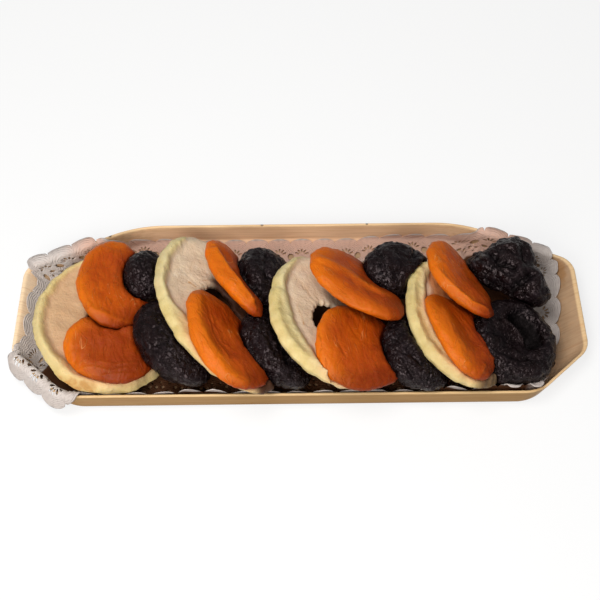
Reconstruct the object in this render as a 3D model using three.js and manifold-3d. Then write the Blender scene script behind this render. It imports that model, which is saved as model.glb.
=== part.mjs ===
// A shallow tray of thin veneer, lined with paper lace and filled with dried fruit.
// Millimetres, +Z up. The tray stands on Z = 0, its length runs along X and its front faces -Y.
import * as THREE from "three";
import Module from "manifold-3d";

const wasm = await Module();
wasm.setup();

// The tray, measured outside its veneer
const rim_half_length = 126;
const rim_half_depth = 45.9;
const tray_height = 10.9;
const veneer_thickness = 1.2;
const fold_radius = 1.6;

// How far the rim stands out past the base, square to each wall
const end_flare = 10.4;
const side_flare = 0.8;
const front_cut_flare = 3;
const back_cut_flare = 3.4;

// The rim's corners are cut across, longer at the back than at the front
const front_cut_length = 24;
const front_cut_depth = 21.5;
const back_cut_length = 50;
const back_cut_depth = 23;

// The bends of the outline, from the front to the back of one end
const front_bend_radius = 16;
const front_end_bend_radius = 11;
const back_end_bend_radius = 10;
const back_bend_radius = 60;

// The paper lace and its scalloped edge
const lace_thickness = 0.4;
const lace_gap = 0.35;
const scallop_pitch = 11.4;
const scallop_depth = 3.6;
const lace_border = 7;
const flap_gap = 0.7;
const flap_thickness = 0.24;
const flap_start_share = 0.62;

// The fruit, as whole sizes of a usual piece
const fruit_gap = 0.45;
const seat_lift = lace_gap + lace_thickness + fruit_gap;
const seat_reach_shares = [-0.6, -0.1, 0.35, 0.95];
const over_rim_share = 1.25;
const apple_radius = 33;
const apple_hole_radius = 8.5;
const apple_flesh_thickness = 4.6;
const apple_rim_thickness = 7.4;
const apricot_length = 39;
const apricot_width = 35;
const apricot_thickness = 9.5;
const prune_length = 38;
const prune_width = 33;
const prune_thickness = 20;

// How uneven the fruit is, as shares of its half sizes
const apple_wave_shares = [0.022, 0.018];
const apple_warp_share = 0.45;
const apricot_wave_shares = [0.035, 0.03];
const apricot_curl_share = 0.35;
const apricot_dish_share = 0.28;
const prune_wave_shares = [0.05, 0.03];
const pit_width_share = 0.45;

// Fineness of the curved surfaces, as counts
const samples_per_scallop = 3;
const lace_rings = 4;
const apple_steps = 24;
const apricot_steps = 16;
const apricot_rings = 6;
const prune_steps = 16;
const prune_rings = 7;

// The lace's edge: the share of the way round from the front right bend, and how far the edge
// reaches, as a share of the tray's height. Under zero it lies on the floor, short of the fold.
const lace_edge_shares = [
  [0, 0.95], [0.03, 1.0], [0.05, 0.75], [0.07, 0.35], [0.11, 0.35], [0.13, 0.8], [0.21, 0.8],
  [0.225, 0.55], [0.25, 0.4], [0.275, 0.5], [0.3, 0.08], [0.43, 0.05], [0.455, 0.45],
  [0.48, 0.85], [0.54, 0.85], [0.56, 0.65], [0.6, 0.65], [0.62, 0.85], [0.69, 0.85],
  [0.745, 0.85], [0.76, 1.2], [0.775, 0.85], [0.92, 0.85], [0.933, 1.15], [0.945, 0.85],
  [0.965, 0.9], [0.98, 1.2], [0.995, 1.05], [1, 0.95],
];

// Where the lace hangs over the rim: first and last share of the way round, and how far it
// hangs, as a share of the tray's height
const flap_shares = [
  { first: 0.135, last: 0.205, hang: 0.22 },
  { first: 0.49, last: 0.54, hang: 0.2 },
  { first: 0.617, last: 0.684, hang: 0.6 },
];

// The fruit from the lowest in the pile to the highest. Places are shares of the rim's half
// length, the rim's half depth and the tray's height above the floor. Sizes are shares of the
// usual piece's width, length and thickness. Turn and lean are in degrees.
const fruit_place_shares = [
  { name: "apple_ring_1", kind: "apple", turn: 12, lean: 8,
    at: [-0.672, -0.175, 0], size: [1.01, 1.14, 1] },
  { name: "apricot_2", kind: "apricot", turn: 0, lean: 12,
    at: [-0.642, -0.56, 0.7], size: [1.16, 0.94, 1] },
  { name: "apricot_1", kind: "apricot", turn: 8, lean: 15,
    at: [-0.655, 0.13, 0.95], size: [0.97, 1.22, 1] },
  { name: "prune_1", kind: "prune", turn: 0, lean: 25,
    at: [-0.54, 0.26, 0.6], size: [0.65, 0.7, 0.8] },
  { name: "prune_2", kind: "prune", turn: 28, lean: 28,
    at: [-0.43, -0.505, 0.2], size: [0.97, 1.24, 0.95] },
  { name: "apple_ring_2", kind: "apple", turn: 25, lean: 28,
    at: [-0.28, -0.18, 0], size: [0.82, 1.37, 1] },
  { name: "apricot_4", kind: "apricot", turn: 26, lean: 38,
    at: [-0.249, -0.575, 0.9], size: [1, 1.5, 1] },
  { name: "apricot_3", kind: "apricot", turn: 27, lean: 50,
    at: [-0.22, 0.09, 1.1], size: [0.7, 1.2, 1] },
  { name: "prune_3", kind: "prune", turn: 10, lean: 25,
    at: [-0.122, 0.21, 0.5], size: [0.8, 0.92, 0.9] },
  { name: "prune_4", kind: "prune", turn: 22, lean: 32,
    at: [-0.08, -0.55, 0.1], size: [0.92, 1.17, 0.9] },
  { name: "apple_ring_3", kind: "apple", turn: 18, lean: 28,
    at: [0.1, -0.33, 0], size: [0.86, 1.1, 1] },
  { name: "apricot_6", kind: "apricot", turn: 8, lean: 22,
    at: [0.2, -0.65, 0.95], size: [1.2, 1.15, 1] },
  { name: "apricot_5", kind: "apricot", turn: 42, lean: 32,
    at: [0.204, 0, 1.1], size: [1.02, 1.31, 1] },
  { name: "prune_5", kind: "prune", turn: 0, lean: 15,
    at: [0.345, 0.26, 0.75], size: [0.94, 0.74, 0.9] },
  { name: "prune_6", kind: "prune", turn: 14, lean: 28,
    at: [0.39, -0.62, 0.2], size: [0.88, 1.05, 0.9] },
  { name: "apple_ring_4", kind: "apple", turn: 15, lean: 28,
    at: [0.532, -0.345, 0], size: [0.7, 1.02, 1] },
  { name: "apricot_8", kind: "apricot", turn: 25, lean: 32,
    at: [0.543, -0.52, 1.05], size: [0.88, 1.25, 1] },
  { name: "apricot_7", kind: "apricot", turn: 24, lean: 40,
    at: [0.561, 0.07, 0.95], size: [0.82, 1.19, 1] },
  { name: "prune_7", kind: "prune", turn: 48, lean: 6, lobes: 0.22,
    at: [0.747, 0.25, 0.6], size: [0.87, 0.98, 1] },
  { name: "prune_8", kind: "prune", turn: 0, lean: 10, pit: 1,
    at: [0.733, -0.5, 0.2], size: [1.12, 1.16, 1] },
];

const veneer_material = new THREE.MeshStandardMaterial({
  color: 0xc8a678, roughness: 0.6, metalness: 0,
});
const lace_material = new THREE.MeshStandardMaterial({
  color: 0xe4dde2, roughness: 0.85, metalness: 0,
});
const apple_material = new THREE.MeshStandardMaterial({
  color: 0xdccfa4, roughness: 0.7, metalness: 0,
});
const apricot_material = new THREE.MeshStandardMaterial({
  color: 0xd8661a, roughness: 0.45, metalness: 0,
});
const prune_material = new THREE.MeshStandardMaterial({
  color: 0x1c1416, roughness: 0.4, metalness: 0,
});

// Turns points and triangles into a solid that can be joined and cut.
function solid_from(points, triangles) {
  return new wasm.Manifold(new wasm.Mesh({
    numProp: 3,
    vertProperties: new Float32Array(points.flatMap((point) => point.toArray())),
    triVerts: new Uint32Array(triangles.flat()),
  }));
}

// Turns a solid back into a named mesh.
function mesh_from(solid, name, material) {
  const cut = solid.getMesh();
  const geometry = new THREE.BufferGeometry();
  geometry.setAttribute("position", new THREE.Float32BufferAttribute(cut.vertProperties, 3));
  geometry.setIndex(new THREE.Uint32BufferAttribute(cut.triVerts, 1));
  geometry.computeVertexNormals();
  const mesh = new THREE.Mesh(geometry, material.clone());
  mesh.name = name;
  return mesh;
}

// The two triangles between neighbouring rings, over every step round them.
function band(count, first, second, step) {
  const next = (step + 1) % count;
  return [
    [first + step, second + step, second + next],
    [first + step, second + next, first + next],
  ];
}

// Joins rings of equal length, counterclockwise from above, with a point at the top and bottom.
function solid_of_rings(top, rings, bottom) {
  const count = rings[0].length;
  const points = [top, ...rings.flat(), bottom];
  const last = points.length - 1;
  const triangles = [];
  for (let step = 0; step < count; step += 1) {
    const next = (step + 1) % count;
    triangles.push([0, 1 + step, 1 + next]);
    for (let ring = 0; ring + 1 < rings.length; ring += 1) {
      triangles.push(...band(count, 1 + ring * count, 1 + (ring + 1) * count, step));
    }
    triangles.push([last, last - count + next, last - count + step]);
  }
  return solid_from(points, triangles);
}

// Joins closed rings into a ring with a hole through it.
function solid_of_loops(loops) {
  const count = loops[0].length;
  const triangles = [];
  for (let loop = 0; loop < loops.length; loop += 1) {
    const next = (loop + 1) % loops.length;
    for (let step = 0; step < count; step += 1) {
      triangles.push(...band(count, loop * count, next * count, step));
    }
  }
  return solid_from(loops.flat(), triangles);
}

// Closes two equal grids of points, one over the other, into one thin sheet.
function solid_of_sheet(upper, lower) {
  const rows = upper.length;
  const columns = upper[0].length;
  const above = (row, column) => row * columns + column;
  const below = (row, column) => (rows + row) * columns + column;
  const triangles = [];
  const quad = (a, b, c, d) => triangles.push([a, b, c], [a, c, d]);
  const right = columns - 1;
  const far = rows - 1;
  for (let row = 0; row < far; row += 1) {
    const next = row + 1;
    for (let column = 0; column < right; column += 1) {
      const beside = column + 1;
      quad(above(row, column), above(row, beside), above(next, beside), above(next, column));
      quad(below(row, column), below(next, column), below(next, beside), below(row, beside));
    }
    quad(above(row, 0), above(next, 0), below(next, 0), below(row, 0));
    quad(above(next, right), above(row, right), below(row, right), below(next, right));
  }
  for (let column = 0; column < right; column += 1) {
    const beside = column + 1;
    quad(above(0, beside), above(0, column), below(0, column), below(0, beside));
    quad(above(far, column), above(far, beside), below(far, beside), below(far, column));
  }
  return solid_from([...upper.flat(), ...lower.flat()], triangles);
}

// The rim's corners, counterclockwise from the front right. Each one carries the bend there and
// the flare and the number of divisions of the run that follows it.
function rim_corners() {
  const front_y = front_cut_depth - rim_half_depth;
  const back_y = rim_half_depth - back_cut_depth;
  const front_x = rim_half_length - front_cut_length;
  const back_x = rim_half_length - back_cut_length;
  const front = { y: -rim_half_depth, radius: front_bend_radius, steps: 4 };
  const front_end = { y: front_y, radius: front_end_bend_radius, steps: 4 };
  const back_end = { y: back_y, radius: back_end_bend_radius, steps: 5 };
  const back = { y: rim_half_depth, radius: back_bend_radius, steps: 4 };
  return [
    { ...front, x: front_x, flare: front_cut_flare, run: 3 },
    { ...front_end, x: rim_half_length, flare: end_flare, run: 4 },
    { ...back_end, x: rim_half_length, flare: back_cut_flare, run: 5 },
    { ...back, x: back_x, flare: side_flare, run: 12 },
    { ...back, x: -back_x, flare: back_cut_flare, run: 5 },
    { ...back_end, x: -rim_half_length, flare: end_flare, run: 4 },
    { ...front_end, x: -rim_half_length, flare: front_cut_flare, run: 3 },
    { ...front, x: -front_x, flare: side_flare, run: 18 },
  ];
}

// Moves every run of the outline in by its own flare.
function moved_in(corners) {
  return corners.map((corner, i) => {
    const before = corners[(i + corners.length - 1) % corners.length];
    const after = corners[(i + 1) % corners.length];
    const run_in = new THREE.Vector2(corner.x - before.x, corner.y - before.y).normalize();
    const run_out = new THREE.Vector2(after.x - corner.x, after.y - corner.y).normalize();
    const cross = run_in.cross(run_out);
    return {
      ...corner,
      x: corner.x + (before.flare * run_out.x - corner.flare * run_in.x) / cross,
      y: corner.y + (before.flare * run_out.y - corner.flare * run_in.y) / cross,
    };
  });
}

// Rounds the corners with arcs and divides the straight runs between them.
function rounded_outline(corners) {
  const arcs = corners.map((corner, i) => {
    const here = new THREE.Vector2(corner.x, corner.y);
    const before = corners[(i + corners.length - 1) % corners.length];
    const after = corners[(i + 1) % corners.length];
    const back = new THREE.Vector2(before.x, before.y).sub(here).normalize();
    const ahead = new THREE.Vector2(after.x, after.y).sub(here).normalize();
    const half_angle = Math.acos(back.dot(ahead)) / 2;
    const inward = back.clone().add(ahead).normalize();
    const centre = here.clone().addScaledVector(inward, corner.radius / Math.sin(half_angle));
    const turn = Math.PI - 2 * half_angle;
    const last_angle = Math.atan2(-ahead.x, ahead.y);
    return Array.from({ length: corner.steps + 1 }, (_, step) => {
      const angle = last_angle - turn * (1 - step / corner.steps);
      return new THREE.Vector2(Math.cos(angle), Math.sin(angle))
        .multiplyScalar(corner.radius).add(centre);
    });
  });
  return arcs.flatMap((arc, i) => {
    const start = arc[arc.length - 1];
    const end = arcs[(i + 1) % arcs.length][0];
    const run = corners[i].run;
    const between = Array.from({ length: run - 1 }, (_, step) => (
      start.clone().lerp(end, (step + 1) / run)
    ));
    return [...arc, ...between];
  });
}

// The stations round the tray: the outer edge of the base, the outer edge of the rim, the way
// out square to the rim, and the share of the way round.
function tray_stations() {
  const rim = rounded_outline(rim_corners());
  const base = rounded_outline(moved_in(rim_corners()));
  let travelled = 0;
  const stations = rim.map((point, i) => {
    const before = rim[(i + rim.length - 1) % rim.length];
    const after = rim[(i + 1) % rim.length];
    const along = after.clone().sub(before).normalize();
    const station = { rim: point, base: base[i], out: new THREE.Vector2(along.y, -along.x), travelled };
    travelled += point.distanceTo(after);
    return station;
  });
  return stations.map((station) => ({ ...station, share: station.travelled / travelled, around: travelled }));
}

const stations = tray_stations();
const around = stations[0].around;

// The station at any share of the way round, on the facet between its neighbours.
function station_at(share) {
  const wrapped = share - Math.floor(share);
  const next = stations.findIndex((station) => station.share > wrapped);
  const after = stations[next < 0 ? 0 : next];
  const before = stations[(next < 0 ? stations.length : next) - 1];
  const span = (next < 0 ? 1 : after.share) - before.share;
  const blend = (wrapped - before.share) / span;
  return {
    rim: before.rim.clone().lerp(after.rim, blend),
    base: before.base.clone().lerp(after.base, blend),
    out: before.out.clone().lerp(after.out, blend).normalize(),
    share: wrapped,
  };
}

// How much further a wall's thickness measures when it is taken level.
function level_factor(station) {
  const flare = station.rim.clone().sub(station.base).dot(station.out);
  return Math.hypot(1, flare / tray_height);
}

// The point at a height, and at a level distance outside the tray's outer face.
function wall_point(station, outward, height) {
  const rise = Math.max(0, height / tray_height);
  const place = station.base.clone().lerp(station.rim, rise).addScaledVector(station.out, outward);
  return new THREE.Vector3(place.x, place.y, height);
}

// Three points round the fold between a floor and a wall.
function fold_points(station, outward, floor, radius) {
  const on_floor = wall_point(station, outward - radius, floor);
  const corner = wall_point(station, outward, floor);
  const on_wall = wall_point(station, outward, floor + radius);
  const middle = on_floor.clone().lerp(on_wall, 0.5).lerp(corner, 0.5);
  return [on_floor, middle, on_wall];
}

function tray() {
  const profiles = stations.map((station) => {
    const inside = -veneer_thickness * level_factor(station);
    const inner = fold_points(station, inside, veneer_thickness, fold_radius);
    const outer = fold_points(station, 0, 0, fold_radius + veneer_thickness);
    return [
      ...inner,
      wall_point(station, inside, tray_height),
      wall_point(station, 0, tray_height),
      ...outer.reverse(),
    ];
  });
  const rings = profiles[0].map((_, ring) => profiles.map((profile) => profile[ring]));
  const top = new THREE.Vector3(0, 0, veneer_thickness);
  return solid_of_rings(top, rings, new THREE.Vector3());
}

// The lace's scallops: zero at their tips, one at the points between them.
function scallop_dip(share) {
  const count = Math.round(around / scallop_pitch);
  return 1 - Math.sqrt(Math.abs(Math.sin(Math.PI * count * share)));
}

function between_shares(table, share) {
  const next = Math.max(1, table.findIndex((row) => row[0] >= share));
  const [from, low] = table[next - 1];
  const [to, high] = table[next];
  return THREE.MathUtils.lerp(low, high, (share - from) / (to - from));
}

function lace_reach(station) {
  const dip = scallop_dip(station.share) * scallop_depth / tray_height;
  return between_shares(lace_edge_shares, station.share) - dip;
}

// A point on a layer that lies over the inside of the tray, at a reach as in the edge's table.
function layer_corner(station, lift, reach) {
  const inside = -(veneer_thickness + lift) * level_factor(station);
  const floor = veneer_thickness + lift;
  const level = Math.min(0, reach) * tray_height;
  const height = floor + Math.max(0, reach) * (tray_height - floor);
  return wall_point(station, inside + level, height);
}

// The same, drawn round the fold in a bend of the paper.
function layer_point(station, lift, reach) {
  const bend = fold_radius / tray_height;
  return layer_corner(station, lift, reach).multiplyScalar(2)
    .add(layer_corner(station, lift, reach - bend))
    .add(layer_corner(station, lift, reach + bend))
    .divideScalar(4);
}

function lace_stations() {
  const count = Math.round(around / scallop_pitch) * samples_per_scallop;
  return Array.from({ length: count }, (_, step) => station_at(step / count));
}

// The reaches of the rings of the lace, from the border of its flat middle to its edge.
function lace_ring_reaches(station) {
  const first = -lace_border / tray_height;
  const last = lace_reach(station);
  return Array.from({ length: lace_rings + 1 }, (_, ring) => (
    THREE.MathUtils.lerp(first, last, ring / lace_rings)
  ));
}

function rings_of_layer(places, lift, reaches_of) {
  const columns = places.map((station) => (
    reaches_of(station).map((reach) => layer_point(station, lift, reach))
  ));
  return columns[0].map((_, ring) => columns.map((column) => column[ring]));
}

function lace_dish() {
  const places = lace_stations();
  const upper = rings_of_layer(places, lace_gap + lace_thickness, lace_ring_reaches);
  const lower = rings_of_layer(places, lace_gap, lace_ring_reaches);
  const floor = veneer_thickness + lace_gap;
  return solid_of_rings(
    new THREE.Vector3(0, 0, floor + lace_thickness),
    [...upper, ...lower.reverse()],
    new THREE.Vector3(0, 0, floor),
  );
}

// One flap of the lace: up inside the wall, over the rim and straight down outside it.
function lace_flap({ first, last, hang }) {
  const places = lace_stations().filter((station) => station.share >= first && station.share <= last);
  const sides = places.map((station) => {
    const middle = (lace_gap + lace_thickness / 2) * level_factor(station);
    const inside = -veneer_thickness * level_factor(station) - middle;
    const over = tray_height + flap_gap;
    const foot = tray_height * (1 - hang) + scallop_dip(station.share) * scallop_depth * hang;
    const outside = (height) => {
      const place = station.rim.clone().addScaledVector(station.out, flap_gap);
      return new THREE.Vector3(place.x, place.y, height);
    };
    const way_out = new THREE.Vector3(station.out.x, station.out.y, 0).multiplyScalar(flap_thickness / 2);
    const up = new THREE.Vector3(0, 0, flap_thickness / 2);
    const path = [
      [wall_point(station, inside, tray_height * flap_start_share), way_out.clone().negate()],
      [wall_point(station, inside, tray_height), way_out.clone().negate()],
      [wall_point(station, inside, over), up.clone().sub(way_out)],
      [outside(over), up.clone().add(way_out)],
      [outside((over + foot) / 2), way_out],
      [outside(foot), way_out],
    ];
    return {
      upper: path.map(([place, side]) => place.clone().add(side)),
      lower: path.map(([place, side]) => place.clone().sub(side)),
    };
  });
  return solid_of_sheet(sides.map((side) => side.upper), sides.map((side) => side.lower));
}

function lace_liner() {
  return flap_shares.reduce((solid, flap) => solid.add(lace_flap(flap)), lace_dish());
}

// Everything that the fruit stays clear of: the tray and the lace, thickened by the fruit's gap.
function filled_tray() {
  const reaches = [-lace_border / tray_height, ...seat_reach_shares, over_rim_share];
  const upper = rings_of_layer(stations, seat_lift, () => reaches);
  const beyond = end_flare + veneer_thickness;
  const far = stations.map((station) => wall_point(station, beyond, tray_height * over_rim_share));
  const under = stations.map((station) => wall_point(station, 0, -tray_height));
  return solid_of_rings(
    new THREE.Vector3(0, 0, veneer_thickness + seat_lift),
    [...upper, far, under],
    new THREE.Vector3(0, 0, -tray_height),
  );
}

// A wave round a piece of fruit, different for each phase.
function uneven([slow, fast], angle, phase) {
  return slow * Math.sin(2 * angle + phase) + fast * Math.sin(3 * angle + 2 * phase);
}

// A dried apple ring: flat flesh round a hole, with a thicker rolled rim, slightly warped.
function apple_ring([x_share, y_share, z_share], phase, grow) {
  const flesh = apple_flesh_thickness * z_share / 2;
  const rim = apple_rim_thickness * z_share / 2;
  const width = apple_radius - apple_hole_radius;
  const section = [
    [apple_hole_radius, 0],
    [apple_hole_radius + flesh / 2, flesh * 0.8],
    [apple_radius - width / 3, flesh],
    [apple_radius - rim * 0.8, rim],
    [apple_radius, 0],
    [apple_radius - rim * 0.8, -rim],
    [apple_radius - width / 3, -flesh],
    [apple_hole_radius + flesh / 2, -flesh * 0.8],
  ];
  const middle = (apple_radius + apple_hole_radius) / 2;
  const loops = section.map(([radius, height]) => Array.from({ length: apple_steps }, (_, step) => {
    const angle = 2 * Math.PI * step / apple_steps;
    const wave = 1 + uneven(apple_wave_shares, angle, phase);
    const outward = Math.sign(radius - middle) * grow;
    const reach = radius * wave + outward;
    const warp = rim * apple_warp_share * Math.sin(2 * angle + phase) * radius / apple_radius;
    return new THREE.Vector3(
      reach * Math.cos(angle) * x_share,
      reach * Math.sin(angle) * y_share,
      height + Math.sign(height) * grow + warp,
    );
  }));
  return { points: loops.flat(), close: () => solid_of_loops(loops) };
}

// A lump with two poles, in rings from the top down. The form gives each point's level reach
// and height as shares of the lump's half sizes.
function lump(half_sizes, steps, rings, form) {
  const [half_x, half_y, half_z] = half_sizes;
  const point = (angle, latitude) => {
    const [reach, height] = form(angle, latitude);
    const across = half_y * reach * Math.sin(angle);
    return new THREE.Vector3(half_x * reach * Math.cos(angle), across, half_z * height);
  };
  const quarter = Math.PI / 2;
  const levels = Array.from({ length: rings }, (_, ring) => (
    quarter - Math.PI * (ring + 1) / (rings + 1)
  ));
  const top = point(0, quarter);
  const bottom = point(0, -quarter);
  const around_at = (level) => Array.from({ length: steps }, (_, step) => (
    point(2 * Math.PI * step / steps, level)
  ));
  const bands = levels.map(around_at);
  return { points: [top, ...bands.flat(), bottom], close: () => solid_of_rings(top, bands, bottom) };
}

function apricot([x_share, y_share, z_share], phase, grow) {
  const half_sizes = [
    apricot_width * x_share / 2 + grow,
    apricot_length * y_share / 2 + grow,
    apricot_thickness * z_share / 2 + grow,
  ];
  return lump(half_sizes, apricot_steps, apricot_rings, (angle, latitude) => {
    const reach = Math.pow(Math.max(0, Math.cos(latitude)), 0.6);
    const wave = 1 + uneven(apricot_wave_shares, angle, phase);
    const curl = apricot_curl_share * reach * reach * Math.cos(2 * angle + phase);
    const dish = 1 - apricot_dish_share * (1 - reach);
    return [reach * wave, Math.sin(latitude) * dish + curl];
  });
}

function prune([x_share, y_share, z_share], phase, grow, { lobes = 0, pit = 0 }) {
  const half_sizes = [
    prune_width * x_share / 2 + grow,
    prune_length * y_share / 2 + grow,
    prune_thickness * z_share / 2 + grow,
  ];
  return lump(half_sizes, prune_steps, prune_rings, (angle, latitude) => {
    const level = Math.max(0, Math.cos(latitude));
    const wave = 1 + uneven(prune_wave_shares, angle + latitude, phase) + lobes * Math.cos(3 * angle + phase);
    const dent = latitude > 0 ? pit * Math.exp(-Math.pow(level / pit_width_share, 2)) : 0;
    return [Math.pow(level, 0.85) * wave, Math.sin(latitude) - dent];
  });
}

// The points of one piece of fruit in its place. Its lowest point rests on the lace.
function placed_fruit(piece, number, grow) {
  const phase = 2.4 * number;
  const shapes = { apple: apple_ring, apricot, prune };
  const shape = shapes[piece.kind](piece.size, phase, grow, piece);
  const turned = new THREE.Matrix4().makeRotationZ(THREE.MathUtils.degToRad(piece.turn))
    .multiply(new THREE.Matrix4().makeRotationY(THREE.MathUtils.degToRad(piece.lean)));
  shape.points.forEach((point) => point.applyMatrix4(turned));
  const lowest = Math.min(...shape.points.map((point) => point.z)) + grow;
  const [along, across, above] = piece.at;
  const shift = new THREE.Vector3(
    along * rim_half_length,
    across * rim_half_depth,
    veneer_thickness + seat_lift + above * tray_height - lowest,
  );
  shape.points.forEach((point) => point.add(shift));
  return shape.close();
}

// The largest of the solids that a cut leaves.
function largest(solid) {
  return solid.decompose().reduce((most, next) => (next.volume() > most.volume() ? next : most));
}

// Each piece is cut by the ones that lie over it and by the tray and lace, all with a small gap.
function fruit_meshes() {
  const materials = { apple: apple_material, apricot: apricot_material, prune: prune_material };
  const keep_out = filled_tray();
  const grown = fruit_place_shares.map((piece, i) => placed_fruit(piece, i, fruit_gap));
  return fruit_place_shares.map((piece, i) => {
    const whole = placed_fruit(piece, i, 0).subtract(keep_out);
    const cut = grown.slice(i + 1).reduce((solid, over) => solid.subtract(over), whole);
    return mesh_from(largest(cut), piece.name, materials[piece.kind]);
  });
}

const box = new THREE.Group();
box.add(mesh_from(tray(), "tray", veneer_material));
box.add(mesh_from(lace_liner(), "lace_liner", lace_material));
box.add(...fruit_meshes());

export default box;
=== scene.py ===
import math

import bmesh
import bpy
import numpy as np
from mathutils import Matrix, Quaternion, Vector, bvhtree, noise
from mathutils.geometry import delaunay_2d_cdt


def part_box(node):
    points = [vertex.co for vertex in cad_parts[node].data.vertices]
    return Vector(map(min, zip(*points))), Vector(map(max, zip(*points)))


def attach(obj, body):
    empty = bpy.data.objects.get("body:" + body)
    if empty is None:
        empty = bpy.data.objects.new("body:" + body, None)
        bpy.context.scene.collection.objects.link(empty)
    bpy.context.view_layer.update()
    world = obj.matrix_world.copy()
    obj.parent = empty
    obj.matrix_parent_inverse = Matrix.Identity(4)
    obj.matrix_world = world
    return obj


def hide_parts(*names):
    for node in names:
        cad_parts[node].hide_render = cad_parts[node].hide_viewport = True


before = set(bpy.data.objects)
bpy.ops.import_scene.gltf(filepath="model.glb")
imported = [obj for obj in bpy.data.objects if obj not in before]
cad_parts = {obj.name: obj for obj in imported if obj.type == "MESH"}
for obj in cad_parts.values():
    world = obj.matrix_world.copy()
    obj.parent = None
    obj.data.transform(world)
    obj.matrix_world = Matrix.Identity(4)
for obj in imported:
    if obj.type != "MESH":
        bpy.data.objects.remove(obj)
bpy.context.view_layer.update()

# Lengths in this file are in millimetres, and this turns them into metres
mm = 0.001

# The tray, measured outside its veneer
rim_half_length = 126
rim_half_depth = 45.9
tray_height = 10.9
veneer_thickness = 1.2
fold_radius = 1.6
fold_steps = 6
rim_edge_radius = 0.5

# How far the rim stands out past the base, square to each wall
end_flare = 10.4
side_flare = 0.8
front_cut_flare = 3
back_cut_flare = 3.4

# The rim's corners are cut across, longer at the back than at the front
front_cut_length = 24
front_cut_depth = 21.5
back_cut_length = 50
back_cut_depth = 23
front_bend_radius = 16
front_end_bend_radius = 11
back_end_bend_radius = 10
back_bend_radius = 60

# The camera, from the photograph
camera_elevation = math.radians(56)
camera_distance = 506
camera_target = Vector((0.27, 9.97, 0))
camera_roll = math.radians(0.64)
camera_lens = 66

# The paper lace: a scalloped border made of equal fans, and how it lies in the tray
lace_lift = 0.5
lace_thickness = 0.2
lace_band = 23
foot_bend = 1.6
rim_bend = 0.45
spine_half_length = 75
scallop_count = 54
scallop_depth = 3.4
fan_centre = 10.2
overhang_step = 10

# The pattern of a fan: its pressed rings and spokes, its petals, and the fine triangles for them
ring_pitch = 0.95
spoke_count = 17.0
petal_reach = 2.7
fine_step = 0.62
fine_reach = 13.5

# The openings that two fans share: how far in past the fans' middles, half width, half height
side_openings = [(0.9, 1.55, 1.8), (5.6, 0.7, 0.75)]

# How far the lace's edge reaches, along the share of the way round that starts at the front
# right bend: 0 at the foot of the wall, 1 at its top, and past 1 over the rim in steps.
lace_edge = [
    (0, 1.1), (0.01, 1.15), (0.02, 1), (0.032, 0.4), (0.045, -0.3), (0.065, -0.25), (0.08, 0.1),
    (0.1, 0.35), (0.12, 0.5), (0.137, 0.65), (0.146, 0.95), (0.155, 1.3), (0.165, 1.5),
    (0.172, 1.6), (0.18, 1.4), (0.198, 1.55), (0.206, 1.3), (0.212, 0.8), (0.225, 0.45),
    (0.24, 0.35), (0.26, 0.4), (0.275, 0.35), (0.3, 0.08), (0.44, 0.05), (0.47, 0.4),
    (0.487, 0.8), (0.495, 1.1), (0.505, 1.5), (0.55, 1.5), (0.557, 1.1), (0.562, 0.6),
    (0.568, 0.6), (0.574, 0.9), (0.62, 0.9), (0.628, 1.2), (0.635, 1.9), (0.645, 2),
    (0.684, 1.9), (0.691, 1.3), (0.697, 0.85), (0.75, 0.85), (0.765, 0.97), (0.785, 0.97),
    (0.795, 0.85), (0.925, 0.85), (0.935, 1.03), (0.948, 1.03), (0.96, 0.85), (0.975, 1.05),
    (1, 1.1),
]

# How far the lace over the rim goes out rather than down, along the same way round
lace_spread = [(0, 0.4), (0.12, 0.8), (0.55, 0.85), (0.6, 0.35), (1, 0.4)]

# How far the lace's edge stands off the wall, along the same way round
lace_stand = [
    (0, 1.9), (0.02, 1.2), (0.05, 0.6), (0.1, 0.8), (0.15, 0.5), (0.3, 0.2), (0.44, 0.2), (0.5, 0.6),
    (0.62, 0.8), (0.69, 0.5), (0.75, 0.3), (0.765, 0.9), (0.785, 0.9), (0.8, 0.3), (0.925, 0.3),
    (0.935, 1.3), (0.948, 1.3), (0.96, 0.4), (0.975, 1.8), (1, 1.9),
]

# Where each piece of fruit lies: its kind, its turn and lean in degrees, and its middle as
# shares of the rim's half length and half depth
fruit_places = {
    "apple_ring_1": ("apple", 12, 8, -0.672, -0.175),
    "apple_ring_2": ("apple", 25, 28, -0.28, -0.18),
    "apple_ring_3": ("apple", 18, 28, 0.1, -0.33),
    "apple_ring_4": ("apple", 15, 28, 0.532, -0.345),
    "apricot_1": ("apricot", 8, 15, -0.655, 0.13),
    "apricot_2": ("apricot", 0, 12, -0.642, -0.56),
    "apricot_3": ("apricot", 27, 50, -0.22, 0.09),
    "apricot_4": ("apricot", 26, 38, -0.249, -0.575),
    "apricot_5": ("apricot", 42, 32, 0.204, 0),
    "apricot_6": ("apricot", 8, 22, 0.2, -0.65),
    "apricot_7": ("apricot", 24, 40, 0.561, 0.07),
    "apricot_8": ("apricot", 25, 32, 0.543, -0.52),
    "prune_1": ("prune", 0, 25, -0.54, 0.26),
    "prune_2": ("prune", 28, 28, -0.43, -0.505),
    "prune_3": ("prune", 10, 25, -0.122, 0.21),
    "prune_4": ("prune", 22, 32, -0.08, -0.55),
    "prune_5": ("prune", 0, 15, 0.345, 0.26),
    "prune_6": ("prune", 14, 28, 0.39, -0.62),
    "prune_7": ("prune", 48, 6, 0.747, 0.25),
    "prune_8": ("prune", 0, 10, 0.733, -0.5),
}

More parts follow.
